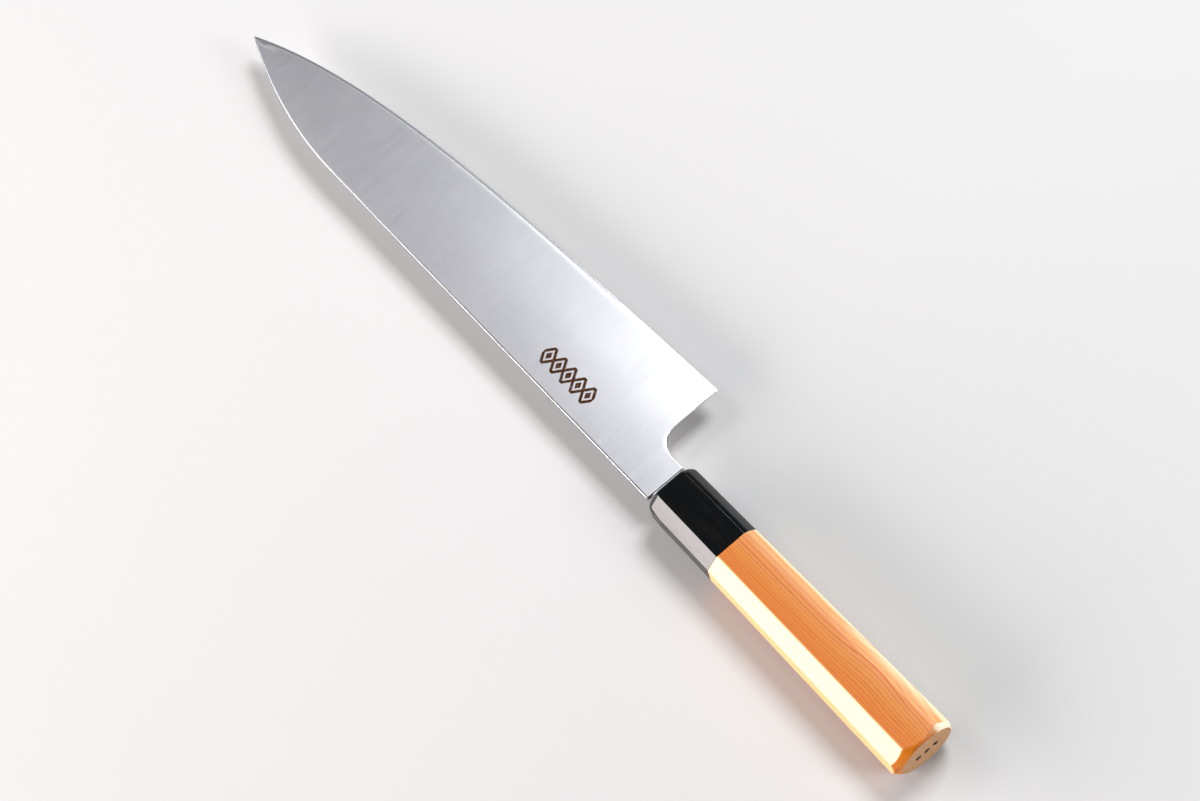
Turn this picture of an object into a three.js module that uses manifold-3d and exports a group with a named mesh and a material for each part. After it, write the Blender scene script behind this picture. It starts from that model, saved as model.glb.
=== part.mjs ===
// Chef's knife of the Japanese kind: one steel blade with a hidden tang in an octagonal wooden handle
// with a dark ferrule. The knife lies on its left side, in millimetres, with +Z up.
//
// Every shape is made in the knife's own frame: the origin is on the handle's axis at the front face
// of the ferrule, +X runs to the tip, +Y to the spine and +Z out of the right-hand side of the blade.
// At the end the knife is moved so that the middle of the underside of its bounding box is the origin.
import * as THREE from "three";
import { mergeVertices } from "three/addons/utils/BufferGeometryUtils.js";
import Module from "manifold-3d";

const wasm = await Module();
wasm.setup();

// ---- Driving dimensions ----

const EDGE_LENGTH = 240; // heel to tip
const HEEL_X = 17.5; // the heel, ahead of the ferrule
const SPINE_Y = 8.65; // the spine, above the handle's axis
const HEEL_Y = -38.2; // the heel, below the handle's axis
const TIP_Y = -6.6;
const EDGE_PULLS = [[112, -33.8], [207.6, -30.8]]; // the points that the cutting edge is drawn towards
const SPINE_DROP_X = 189.5; // the spine falls to the tip from here
const TIP_HEIGHT = 0.4; // the tip is rounded off to this height

const BLADE_THICKNESS = 2.3; // along the spine, as far as the taper
const TAPER_START_X = 120; // the blade thins from here to the tip
const TIP_THICKNESS = 0.9;
const SPINE_BEVEL = 0.35; // the broken corner along the spine
const SPINE_BEVEL_DEPTH = 0.21; // how much it takes off each flank
const FLAT_SHARE = 0.35; // the share of the blade's height that stays flat under the spine
const MICRO_BEVEL = 1.15; // height of the sharpened bevel
const BEHIND_EDGE = 0.44; // thickness at the top of the sharpened bevel
const BEHIND_EDGE_MOST = 0.6; // at the thin tip, no more than this share of the spine's thickness
const EDGE_THICKNESS = 0.1;

const NECK_X = 2.5; // the shoulder, a little ahead of the ferrule
const NECK_LOW_Y = -8.9;
const CHOIL_RADIUS = 8.3;
const HEEL_LEAN = 0.35; // the heel's corner stands this far ahead of the end of the choil's arc

const TANG_THICKNESS = 2;
const TANG_END_X = -98;
const TANG_CENTRE_Y = -0.2;
const TANG_ROOT_HALF = 7; // half its height at the shoulder, in the ferrule's mouth and at its end
const TANG_FRONT_HALF = 5.9;
const TANG_END_HALF = 3;
const TANG_BEND = 1.5; // the reach of the curve between the first two

const HANDLE_LENGTH = 136.5; // ferrule and wood together
const FERRULE_LENGTH = 35;
const FRONT_HEIGHT = 22.2; // spine side to edge side
const BUTT_HEIGHT = 25.55;
const WIDTH_SHARE = 0.824; // the handle's thickness over its height
const BEVEL_SHARE = 0.215; // the leg of each 45 degree bevel over the height
const FRONT_ROUNDING = 3.2;
const FERRULE_WALL = 6; // the ferrule's closed front
const GLUE_LINE = 0.1; // between the ferrule and the wood
const CLEARANCE = 0.3; // between a piece and the hole that it sits in

const BUTT_CENTRE = [-0.75, 0.45]; // the end face is an oval a little off the axis, as y and z
const BUTT_HALF = [11.37, 9.34]; // its half axes
const BUTT_CONE_RISE = 0.091; // how much larger the oval is, for each millimetre ahead of it
const BUTT_CONE_REACH = 8;

const DOWEL_RADIUS = 7.7;
const DOWEL_END_X = -60;
const DOWEL_SLOT = [12, 2.8]; // height and width
const PLUG_RADIUS = 4.7;
const PLUG_END_X = -101;
const MOUTH = [14.4, 4.8]; // height and width of the opening in the ferrule's front face
const SEAL_WALL = 0.75;

const OVERLAP = 1; // how far a cutting shape passes the surface that it cuts
const BLANK = 60; // wider and taller than the whole handle
const CONE_SIDES = 96;
const BORE_SIDES = 48;
const THIN_BORE_SIDES = 32;

const TIP_X = HEEL_X + EDGE_LENGTH;
const BUTT_X = -HANDLE_LENGTH;

// ---- Materials ----

const steel = new THREE.MeshStandardMaterial({ color: 0xc9c8cf, roughness: 0.36, metalness: 1 });
const horn = new THREE.MeshStandardMaterial({ color: 0x0d1113, roughness: 0.22, metalness: 0 });
const yew = new THREE.MeshStandardMaterial({ color: 0xe09a5c, roughness: 0.5, metalness: 0 });
const plainWood = new THREE.MeshStandardMaterial({ color: 0xd9c39a, roughness: 0.7, metalness: 0 });
const resin = new THREE.MeshStandardMaterial({ color: 0xb98a3e, roughness: 0.4, metalness: 0 });
const wax = new THREE.MeshStandardMaterial({ color: 0x2a2018, roughness: 0.6, metalness: 0 });

// ---- Solids from triangles, and cuts ----

function solidFromGeometry(geometry) {
  const bare = geometry.clone();
  bare.deleteAttribute("normal");
  bare.deleteAttribute("uv");
  const merged = mergeVertices(bare, 1e-4);
  return new wasm.Manifold(
    new wasm.Mesh({
      numProp: 3,
      vertProperties: merged.attributes.position.array,
      triVerts: new Uint32Array(merged.index.array),
    }),
  );
}

function geometryFromSolid(solid) {
  const mesh = solid.getMesh();
  const geometry = new THREE.BufferGeometry();
  geometry.setAttribute("position", new THREE.BufferAttribute(new Float32Array(mesh.vertProperties), 3));
  geometry.setIndex(new THREE.BufferAttribute(new Uint32Array(mesh.triVerts), 1));
  return flatShaded(geometry);
}

function flatShaded(geometry) {
  const flat = geometry.toNonIndexed();
  flat.computeVertexNormals();
  return flat;
}

function geometryFrom(points, triangles) {
  const geometry = new THREE.BufferGeometry();
  geometry.setAttribute("position", new THREE.Float32BufferAttribute(points.flat(), 3));
  geometry.setIndex(triangles.flat());
  return geometry;
}

// Joins rings of the same number of points, in order along -X, into one closed solid.
function loft(rings) {
  const count = rings[0].length;
  const points = rings.flat();
  const triangles = [];
  for (let ring = 0; ring < rings.length - 1; ring += 1) {
    for (let side = 0; side < count; side += 1) {
      const next = (side + 1) % count;
      const a = ring * count + side;
      const b = ring * count + next;
      triangles.push([a, a + count, b], [b, a + count, b + count]);
    }
  }
  const last = (rings.length - 1) * count;
  for (let side = 1; side < count - 1; side += 1) {
    triangles.push([0, side, side + 1], [last, last + side + 1, last + side]);
  }
  return solidFromGeometry(geometryFrom(points, triangles));
}

// A block from one X to another, with a centre, height along Y and width along Z at each end.
function taperedBlock(front, back) {
  const ring = ({ x, y, height, width }) => [
    [x, y - height / 2, -width / 2],
    [x, y + height / 2, -width / 2],
    [x, y + height / 2, width / 2],
    [x, y - height / 2, width / 2],
  ];
  return loft([ring(front), ring(back)]);
}

function rodAlongX(radius, frontX, backX, sides = BORE_SIDES) {
  const rod = new THREE.CylinderGeometry(radius, radius, frontX - backX, sides);
  rod.rotateZ(-Math.PI / 2);
  rod.translate((frontX + backX) / 2, 0, 0);
  return solidFromGeometry(rod);
}

// ---- Blade ----

const edgeCurve = new THREE.CubicBezierCurve(
  new THREE.Vector2(HEEL_X, HEEL_Y),
  new THREE.Vector2(...EDGE_PULLS[0]),
  new THREE.Vector2(...EDGE_PULLS[1]),
  new THREE.Vector2(TIP_X, TIP_Y - TIP_HEIGHT / 2),
);

// The spine is straight, then falls to the tip as a parabola.
function spineY(x) {
  const along = Math.max(0, (x - SPINE_DROP_X) / (TIP_X - SPINE_DROP_X));
  return SPINE_Y - (SPINE_Y - TIP_Y - TIP_HEIGHT / 2) * along ** 2;
}

function spineThickness(x) {
  const along = Math.max(0, (x - TAPER_START_X) / (TIP_X - TAPER_START_X));
  return THREE.MathUtils.lerp(BLADE_THICKNESS, TIP_THICKNESS, along);
}

// Half the blade's thickness at a depth below the spine, where the section is height tall: a broken
// corner, a flat flank, the long grind, and the sharpened bevel.
function halfThickness(x, depth, height) {
  const full = spineThickness(x) / 2;
  const bevel = Math.min(MICRO_BEVEL, height / 4);
  const behind = Math.min(BEHIND_EDGE / 2, full * BEHIND_EDGE_MOST);
  if (depth <= 0) return full - SPINE_BEVEL_DEPTH;
  if (depth <= FLAT_SHARE * height) return full;
  if (depth >= height) return EDGE_THICKNESS / 2;
  const bevelTop = height - bevel;
  if (depth >= bevelTop) {
    return THREE.MathUtils.lerp(behind, EDGE_THICKNESS / 2, (depth - bevelTop) / bevel);
  }
  return THREE.MathUtils.lerp(full, behind, (depth - FLAT_SHARE * height) / (bevelTop - FLAT_SHARE * height));
}

// A column of points from the spine down to lowY. The rows meet the flank's lines, and the row at
// CHOIL_ROW runs from the end of the choil's arc to the tip.
const HEEL_HEIGHT = SPINE_Y - HEEL_Y;
const CHOIL_LOW_Y = NECK_LOW_Y - CHOIL_RADIUS;
const ARC_SHARE = (SPINE_Y - CHOIL_LOW_Y) / HEEL_HEIGHT;
const CHOIL_ROW = 4;

function bladeColumn(x, edgeY, lean) {
  const top = spineY(x);
  const height = top - edgeY;
  const corner = Math.min(SPINE_BEVEL, height / 8);
  const bevel = Math.min(MICRO_BEVEL, height / 4);
  const arcDepth = ARC_SHARE * height;
  const depths = [0, corner, FLAT_SHARE * height, (FLAT_SHARE + ARC_SHARE) * 0.5 * height, arcDepth];
  depths.push((arcDepth + height - bevel) / 2, height - bevel, height);
  return depths.map((depth) => {
    const forward = (lean * Math.max(0, depth - arcDepth)) / (height - arcDepth);
    return [x + forward, top - depth, halfThickness(x, depth, height)];
  });
}

function neckColumn(x, lowY) {
  const depth = SPINE_Y - lowY;
  const depths = [0, SPINE_BEVEL, depth * 0.5, depth * 0.75, depth];
  return depths.map((d) => [x, SPINE_Y - d, halfThickness(x, d, HEEL_HEIGHT)]);
}

const NECK_STEPS = 3;
const ARC_STEPS = 10;
const BLADE_STEPS = 54;

function bladeColumns() {
  const arcX = HEEL_X - HEEL_LEAN - CHOIL_RADIUS;
  const columns = [];
  for (let step = 0; step < NECK_STEPS; step += 1) {
    columns.push(neckColumn(THREE.MathUtils.lerp(NECK_X, arcX, step / NECK_STEPS), NECK_LOW_Y));
  }
  for (let step = 0; step < ARC_STEPS; step += 1) {
    const turn = ((Math.PI / 2) * step) / ARC_STEPS;
    columns.push(
      neckColumn(arcX + CHOIL_RADIUS * Math.sin(turn), CHOIL_LOW_Y + CHOIL_RADIUS * Math.cos(turn)),
    );
  }
  columns.push(bladeColumn(HEEL_X - HEEL_LEAN, HEEL_Y, HEEL_LEAN));
  for (let step = 1; step <= BLADE_STEPS; step += 1) {
    const point = edgeCurve.getPoint(step / BLADE_STEPS);
    columns.push(bladeColumn(point.x, point.y, 0));
  }
  return columns;
}

// Both flanks from the columns, with a wall between them along every open side.
function plateFromColumns(columns) {
  const points = [];
  const firstOf = columns.map((column) => {
    const first = points.length;
    points.push(...column);
    return first;
  });
  const upper = [];
  for (let c = 0; c < columns.length - 1; c += 1) {
    const rows = Math.min(columns[c].length, columns[c + 1].length);
    for (let row = 0; row < rows - 1; row += 1) {
      const a = firstOf[c] + row;
      const b = firstOf[c + 1] + row;
      upper.push([a, a + 1, b], [b, a + 1, b + 1]);
    }
  }
  const half = points.length;
  const lower = upper.map(([a, b, c]) => [a + half, c + half, b + half]);
  const sides = new Set(upper.flatMap(([a, b, c]) => [`${a},${b}`, `${b},${c}`, `${c},${a}`]));
  const walls = [];
  for (const side of sides) {
    const [a, b] = side.split(",").map(Number);
    if (!sides.has(`${b},${a}`)) walls.push([b, a, a + half], [b, a + half, b + half]);
  }
  const mirrored = points.map(([x, y, z]) => [x, y, -z]);
  return geometryFrom([...points, ...mirrored], [...upper, ...lower, ...walls]);
}

// The tang narrows quickly behind the shoulder, then slowly to a rounded end.
function tangSolid(grow) {
  const outline = new THREE.Shape();
  const rootX = NECK_X + OVERLAP;
  const bendX = NECK_X - TANG_BEND;
  const endX = TANG_END_X - grow;
  const endHalf = TANG_END_HALF + grow;
  const frontHalf = TANG_FRONT_HALF + grow;
  const rootHalf = TANG_ROOT_HALF + grow;
  outline.moveTo(rootX, -TANG_ROOT_HALF);
  outline.lineTo(NECK_X, -rootHalf);
  outline.quadraticCurveTo(bendX, -frontHalf, 0, -frontHalf);
  outline.lineTo(endX + endHalf, -endHalf);
  outline.absarc(endX + endHalf, 0, endHalf, -Math.PI / 2, Math.PI / 2, true);
  outline.lineTo(0, frontHalf);
  outline.quadraticCurveTo(bendX, frontHalf, NECK_X, rootHalf);
  outline.lineTo(rootX, TANG_ROOT_HALF);
  outline.closePath();
  const depth = TANG_THICKNESS + 2 * grow;
  const plate = new THREE.ExtrudeGeometry(outline, { depth, bevelEnabled: false, curveSegments: 8 });
  plate.translate(0, TANG_CENTRE_Y, -depth / 2);
  return solidFromGeometry(plate);
}

function bladeGeometry() {
  const plate = solidFromGeometry(plateFromColumns(bladeColumns()));
  return geometryFromSolid(plate.add(tangSolid(0)));
}

// ---- Handle ----

function handleHeight(x) {
  return THREE.MathUtils.lerp(FRONT_HEIGHT, BUTT_HEIGHT, -x / HANDLE_LENGTH);
}

// The handle's octagon at x, taken in by inset on every side.
function octagon(x, inset) {
  const height = handleHeight(x);
  const halfHeight = height / 2 - inset;
  const halfWidth = (height * WIDTH_SHARE) / 2 - inset;
  const leg = height * BEVEL_SHARE - inset * (2 - Math.SQRT2);
  return [
    [x, -halfHeight, -halfWidth + leg],
    [x, -halfHeight + leg, -halfWidth],
    [x, halfHeight - leg, -halfWidth],
    [x, halfHeight, -halfWidth + leg],
    [x, halfHeight, halfWidth - leg],
    [x, halfHeight - leg, halfWidth],
    [x, -halfHeight + leg, halfWidth],
    [x, -halfHeight, halfWidth - leg],
  ];
}

const ROUNDING_STEPS = 6;

function ferruleGeometry() {
  const rings = [];
  for (let step = 0; step <= ROUNDING_STEPS; step += 1) {
    const turn = ((Math.PI / 2) * step) / ROUNDING_STEPS;
    const back = FRONT_ROUNDING * (1 - Math.cos(turn));
    rings.push(octagon(-back, FRONT_ROUNDING * (1 - Math.sin(turn))));
  }
  rings.push(octagon(-FERRULE_LENGTH, 0));
  const bore = rodAlongX(DOWEL_RADIUS + CLEARANCE, -FERRULE_WALL, -FERRULE_LENGTH - OVERLAP);
  const [height, width] = MOUTH;
  const mouth = taperedBlock(
    { x: OVERLAP, y: TANG_CENTRE_Y, height, width },
    { x: -FERRULE_WALL - OVERLAP, y: TANG_CENTRE_Y, height, width },
  );
  return geometryFromSolid(loft(rings).subtract(bore).subtract(mouth));
}

// The oval cone that trims the butt, with a block ahead of it that keeps the rest of the handle.
function buttCone() {
  const startX = BUTT_X - OVERLAP;
  const endX = BUTT_X + BUTT_CONE_REACH;
  const size = (x) => 1 + BUTT_CONE_RISE * (x - BUTT_X);
  const cone = new THREE.CylinderGeometry(size(endX), size(startX), endX - startX, CONE_SIDES);
  cone.rotateZ(-Math.PI / 2);
  cone.scale(1, ...BUTT_HALF);
  cone.translate((startX + endX) / 2, ...BUTT_CENTRE);
  const rest = taperedBlock(
    { x: 0, y: 0, height: BLANK, width: BLANK },
    { x: endX - OVERLAP, y: 0, height: BLANK, width: BLANK },
  );
  return solidFromGeometry(cone).add(rest);
}

function handleBodyGeometry() {
  const frontX = -FERRULE_LENGTH - GLUE_LINE;
  const body = loft([octagon(frontX, 0), octagon(BUTT_X, 0)]);
  const dowelBore = rodAlongX(DOWEL_RADIUS + CLEARANCE, frontX + OVERLAP, DOWEL_END_X - CLEARANCE);
  const plugRadius = PLUG_RADIUS + CLEARANCE;
  const tangBore = rodAlongX(plugRadius, DOWEL_END_X, PLUG_END_X - CLEARANCE, THIN_BORE_SIDES);
  return geometryFromSolid(body.intersect(buttCone()).subtract(dowelBore).subtract(tangBore));
}

function dowelGeometry() {
  const frontX = -FERRULE_WALL - CLEARANCE;
  const rod = rodAlongX(DOWEL_RADIUS, frontX, DOWEL_END_X);
  const [height, width] = DOWEL_SLOT;
  const slot = taperedBlock(
    { x: frontX + OVERLAP, y: TANG_CENTRE_Y, height, width },
    { x: DOWEL_END_X - OVERLAP, y: TANG_CENTRE_Y, height, width },
  );
  return geometryFromSolid(rod.subtract(slot));
}

// The glue that fills the drilled hole round the back of the tang.
function gluePlugGeometry() {
  const plug = rodAlongX(PLUG_RADIUS, DOWEL_END_X - 2 * CLEARANCE, PLUG_END_X, THIN_BORE_SIDES);
  return geometryFromSolid(plug.subtract(tangSolid(CLEARANCE)));
}

// The bead that closes the ferrule's mouth round the tang.
function mouthSealGeometry() {
  const height = MOUTH[0] - 2 * CLEARANCE;
  const width = MOUTH[1] - 2 * CLEARANCE;
  const inner = { height: height - 2 * SEAL_WALL, width: width - 2 * SEAL_WALL };
  const bead = taperedBlock(
    { x: -CLEARANCE, y: TANG_CENTRE_Y, height, width },
    { x: -FERRULE_WALL + CLEARANCE, y: TANG_CENTRE_Y, height, width },
  );
  const opening = taperedBlock(
    { x: OVERLAP, y: TANG_CENTRE_Y, ...inner },
    { x: -FERRULE_WALL - OVERLAP, y: TANG_CENTRE_Y, ...inner },
  );
  return geometryFromSolid(bead.subtract(opening));
}

// ---- Assembly ----

function part(name, geometry, material) {
  const mesh = new THREE.Mesh(geometry, material);
  mesh.name = name;
  return mesh;
}

const handle = new THREE.Group();
handle.add(part("ferrule", ferruleGeometry(), horn));
handle.add(part("handle_body", handleBodyGeometry(), yew));
handle.add(part("dowel", dowelGeometry(), plainWood));
handle.add(part("tang_glue", gluePlugGeometry(), resin));
handle.add(part("mouth_seal", mouthSealGeometry(), wax));

const knife = new THREE.Group();
knife.add(part("blade", bladeGeometry(), steel));
knife.add(handle);

const box = new THREE.Box3().setFromObject(knife, true);
const centre = box.getCenter(new THREE.Vector3());
knife.position.set(-centre.x, -centre.y, -box.min.z);

const group = new THREE.Group();
group.add(knife);

export default group;
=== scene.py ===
"""The looks of a Japanese-style chef's knife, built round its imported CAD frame."""
import math

import bpy
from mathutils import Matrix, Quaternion, Vector


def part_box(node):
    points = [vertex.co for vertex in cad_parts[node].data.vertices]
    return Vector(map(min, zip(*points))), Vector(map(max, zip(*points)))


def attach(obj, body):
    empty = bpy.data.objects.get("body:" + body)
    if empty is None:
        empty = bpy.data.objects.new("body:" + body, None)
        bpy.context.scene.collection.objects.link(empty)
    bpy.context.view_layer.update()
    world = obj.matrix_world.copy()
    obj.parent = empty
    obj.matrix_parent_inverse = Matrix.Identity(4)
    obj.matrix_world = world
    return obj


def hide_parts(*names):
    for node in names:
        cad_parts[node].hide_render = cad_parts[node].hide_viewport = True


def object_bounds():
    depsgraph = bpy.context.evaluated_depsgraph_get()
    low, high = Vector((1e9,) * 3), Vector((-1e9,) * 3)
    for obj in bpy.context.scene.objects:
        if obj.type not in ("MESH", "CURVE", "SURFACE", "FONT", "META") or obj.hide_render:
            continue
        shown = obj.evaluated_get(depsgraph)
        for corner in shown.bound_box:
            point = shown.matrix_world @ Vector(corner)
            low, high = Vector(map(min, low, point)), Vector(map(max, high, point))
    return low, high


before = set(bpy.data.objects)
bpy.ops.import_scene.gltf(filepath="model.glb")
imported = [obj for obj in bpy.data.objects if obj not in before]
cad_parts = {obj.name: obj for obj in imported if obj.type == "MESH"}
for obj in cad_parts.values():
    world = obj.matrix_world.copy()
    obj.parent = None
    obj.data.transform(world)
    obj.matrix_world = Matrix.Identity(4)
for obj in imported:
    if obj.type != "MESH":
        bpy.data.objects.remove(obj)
cad_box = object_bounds()

# ---- Driving dimensions, in millimetres, in the knife's own frame ----
# The origin is on the handle's axis at the ferrule's front face, +X runs to the tip, +Y to the spine
# and +Z out of the blade's right-hand side.

MM = 0.001

EDGE_LENGTH = 240.0
HEEL_X = 17.5
SPINE_Y = 8.65
HEEL_Y = -38.2
TIP_Y = -6.6
TIP_HEIGHT = 0.4
TIP_X = HEEL_X + EDGE_LENGTH
EDGE_PULLS = [(112.0, -33.8), (207.6, -30.8)]  # the points that the cutting edge is drawn towards
SPINE_DROP_X = 189.5  # the spine falls to the tip from here

BLADE_THICKNESS = 2.3
TAPER_START_X = 120.0  # the blade thins from here to the tip
TIP_THICKNESS = 0.9
FLAT_SHARE = 0.35  # the share of the blade's height that stays flat under the spine
FLANK_ROUNDING = 0.4  # how softly the flat part turns into the grind
FLANK_ROUNDING_MOST = 0.35  # and no more than this share of half the thickness
MICRO_BEVEL = 1.15  # height of the sharpened bevel
MICRO_BEVEL_MOST = 0.25  # and no more than this share of the blade's height
BEVEL_SOFTENING = 0.15  # how far either side of the bevel's top it turns, as a share of its height
BEHIND_EDGE = 0.44  # thickness at the top of the sharpened bevel
BEHIND_EDGE_MOST = 0.6  # and no more than this share of the spine's thickness
EDGE_THICKNESS = 0.1
RIM_RADIUS = 0.42  # the polished rounding along the heel, choil and neck
RIM_RADIUS_MOST = 0.9  # no rounding is larger than this share of half the thickness
SPINE_RADIUS = 0.25
SPINE_EASE = 0.7  # the width of the spine's eased corner
SPINE_EASE_SHARE = 0.1  # how much of the blade's half thickness it takes off

NECK_X = 2.5
NECK_LOW_Y = -8.9
CHOIL_RADIUS = 8.3
HEEL_LEAN = 0.35  # the heel's corner stands this far ahead of the end of the choil's arc
CHOIL_X = HEEL_X - HEEL_LEAN - CHOIL_RADIUS
CHOIL_LOW_Y = NECK_LOW_Y - CHOIL_RADIUS

TANG_THICKNESS = 2.0
TANG_END_X = -98.0
TANG_CENTRE_Y = -0.2
TANG_ROOT_HALF = 7.0  # half its height at the shoulder, in the ferrule's mouth and at its end
TANG_FRONT_HALF = 5.9
TANG_END_HALF = 3.0
TANG_ROOT_CURVE = 3  # how late it widens to the shoulder: 1 is evenly, more is later
TANG_TIP_HALF = 0.2  # half its height where its rounded end is cut off

HANDLE_LENGTH = 136.5
FERRULE_LENGTH = 35.0
FRONT_HEIGHT = 22.2
BUTT_HEIGHT = 25.55
WIDTH_SHARE = 0.824  # the handle's thickness over its height
BEVEL_SHARE = 0.215  # the leg of each 45 degree bevel over the height
FRONT_ROUNDING = 3.2
FERRULE_WALL = 6.0  # the ferrule's closed front
CORNER_RADIUS = 0.35  # the softened corners of the octagon
WORN_RADIUS = 1.6  # on the wood, the corners between the broad faces and the edge-side bevels
WORN_REACH = 10.0  # how far behind the ferrule those corners reach that radius
EDGE_SIDE_RADIUS = 2.0  # the corners of the edge-side face
EDGE_BEVEL_CROWN = 12.0  # how far each side of an edge-side bevel turns away from flat, in degrees
FRONT_CORNER_RADIUS = 4.6  # every corner, where the ferrule's front is rounded off
FRONT_SOFTENING = 0.35  # how soon corners soften where the front rounds off: 1 is evenly, less is sooner
FERRULE_EDGE_RADIUS = 0.2  # on the ferrule, the corners that wear softens on the wood
SPINE_CORNER_REACH = 6.5  # the spine-side face's corners soften over this length behind the front
JOINT_GAP = 0.04  # between the ferrule and the wood
JOINT_BEVEL = (0.07, 0.05)  # the length and depth of the broken edge on each side of that gap

BUTT_CENTRE = (-0.75, 0.45)  # the end face is an oval a little off the axis, as y and z
BUTT_HALF = (11.37, 9.34)
BUTT_CONE_RISE = 0.091  # how much larger the oval is, for each millimetre ahead of the end face

BORE_RADIUS = 8.0
BORE_END_X = -60.3
TANG_BORE_RADIUS = 5.0
TANG_BORE_END_X = -101.3
MOUTH_HEIGHT = 14.4
MOUTH_WIDTH = 4.8
MOUTH_EASE = (1.03, 1.08)  # how much taller and wider the mouth is at its eased front edge
MOUTH_EASE_DEPTH = 0.25

ferrule_low, ferrule_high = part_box("ferrule")
ORIGIN = Vector((
    ferrule_high.x,
    (ferrule_low.y + ferrule_high.y) / 2,
    (ferrule_low.z + ferrule_high.z) / 2,
))


def place(x, y, z):
    """A point of the knife's own frame, in millimetres, as a point of the row's frame in metres."""
    return ORIGIN + Vector((x, y, z)) * MM


# ---- Small helpers ----


def lerp(a, b, share):
    return a + (b - a) * share


def clamp(value, low=0.0, high=1.0):
    return max(low, min(high, value))


def spread(low, high, count):
    """count numbers from low to high, both included."""
    return [lerp(low, high, step / (count - 1)) for step in range(count)]


def mesh_object(name, points, faces, sharp_angle):
    """A smooth-shaded mesh whose edges stay sharp beyond an angle in degrees."""
    mesh = bpy.data.meshes.new(name)
    mesh.from_pydata([place(*point) for point in points], [], faces)
    mesh.update()
    mesh.shade_smooth()
    mesh.set_sharp_from_angle(angle=math.radians(sharp_angle))
    piece = bpy.data.objects.new(name, mesh)
    bpy.context.scene.collection.objects.link(piece)
    return piece


def stand_for(piece, node, material):
    piece.data.materials.append(material)
    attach(piece, "root")
    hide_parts(node)


# ---- Blade ----


def edge_point(share):
    """The cutting edge, a cubic Bezier from the heel to the tip."""
    line = [(HEEL_X, HEEL_Y), *EDGE_PULLS, (TIP_X, TIP_Y - TIP_HEIGHT / 2)]
    weights = [(1 - share) ** 3, 3 * (1 - share) ** 2 * share, 3 * (1 - share) * share**2, share**3]
    return [sum(w * point[axis] for w, point in zip(weights, line)) for axis in (0, 1)]


def spine_y(x):
    """The spine is straight, then falls to the tip as a parabola."""
    along = max(0.0, (x - SPINE_DROP_X) / (TIP_X - SPINE_DROP_X))
    return SPINE_Y - (SPINE_Y - TIP_Y - TIP_HEIGHT / 2) * along**2


def rim_distance(x, y):
    """How far a point of the flank is from the nearest rim that is neither spine nor cutting edge."""
    if x < CHOIL_X:
        return min(y - NECK_LOW_Y, x - NECK_X)
    if y < CHOIL_LOW_Y:
        lean = HEEL_LEAN * (CHOIL_LOW_Y - y) / (CHOIL_LOW_Y - HEEL_Y)
        return x - (HEEL_X - HEEL_LEAN + lean)
    return math.hypot(x - CHOIL_X, y - CHOIL_LOW_Y) - CHOIL_RADIUS


def smooth_lower(a, b, reach):
    """The lower of two numbers, with a rounded step from one to the other."""
    mix = clamp(0.5 + 0.5 * (b - a) / reach)
    return lerp(b, a, mix) - reach * mix * (1 - mix)


def bevel_height(height):
    return min(MICRO_BEVEL, height * MICRO_BEVEL_MOST)


def half_thickness(x, depth, height):
    """Half the blade's thickness at a depth below the spine, where the section is height tall."""
    taper = max(0.0, (x - TAPER_START_X) / (TIP_X - TAPER_START_X))
    full = lerp(BLADE_THICKNESS, TIP_THICKNESS, taper) / 2
    bevel = bevel_height(height)
    behind = min(BEHIND_EDGE / 2, full * BEHIND_EDGE_MOST)
    bevel_top = height - bevel
    if depth >= bevel_top:
        return lerp(behind, EDGE_THICKNESS / 2, (depth - bevel_top) / bevel)
    slope = (full - behind) / (bevel_top - FLAT_SHARE * height)
    grind = behind + slope * (bevel_top - depth)
    return smooth_lower(full, grind, min(FLANK_ROUNDING, full * FLANK_ROUNDING_MOST))


def rounded(half, distance, radius):
    """half, lowered near a rim so that the rim is a quarter circle."""
    radius = min(radius, half * RIM_RADIUS_MOST)
    inside = clamp(distance, 0.0, radius)
    return half - radius + math.sqrt(radius**2 - (radius - inside) ** 2)


def finished(x, y, half):
    """half, with the spine's corner eased and every rim but the cutting edge rounded."""
    depth = spine_y(x) - y
    half *= 1 - SPINE_EASE_SHARE * clamp(1 - depth / SPINE_EASE)
    return rounded(rounded(half, depth, SPINE_RADIUS), rim_distance(x, y), RIM_RADIUS)


SPINE_ROWS = [0.0, 0.02, 0.07, 0.15, 0.25, 0.32, 0.66, 0.74, 1.05]  # depths of the first rows
RIM_STEPS = [0.0, 0.06, 0.22, 0.46, 0.74, 1.0, 1.5]  # shares of the rim's radius
LOW_HEIGHT = 12  # a section of fewer rim radii than this has its rows closer together
ARC_SHARE = (SPINE_Y - CHOIL_LOW_Y) / (SPINE_Y - HEEL_Y)
MIDDLE_ROWS = 9
LOWER_ROWS = 10

TANG_END_STEPS = [0.0, 0.4, 1.0, 2.0, 3.0]  # places of the first columns, ahead of the tang's end
TANG_COLUMNS = 10
TANG_ROOT_STEPS = [0.8, 1.4, 1.9, 2.2, 2.4]  # places of the columns where the tang widens
NECK_COLUMNS = 6
ARC_COLUMNS = 25
EDGE_COLUMNS = 121


def row_radius(height):
    """The rim's radius, or less in a low section, to space its rows by."""
    return min(RIM_RADIUS, height / LOW_HEIGHT)


def upper_depths(depth, radius):
    """Depths of the rows from the spine to depth, close together near both ends."""
    top = [row * radius / RIM_RADIUS for row in SPINE_ROWS]
    bottom = [depth - radius * step for step in reversed(RIM_STEPS)]
    return top + spread(top[-1], bottom[0], MIDDLE_ROWS + 2)[1:-1] + bottom


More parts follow.
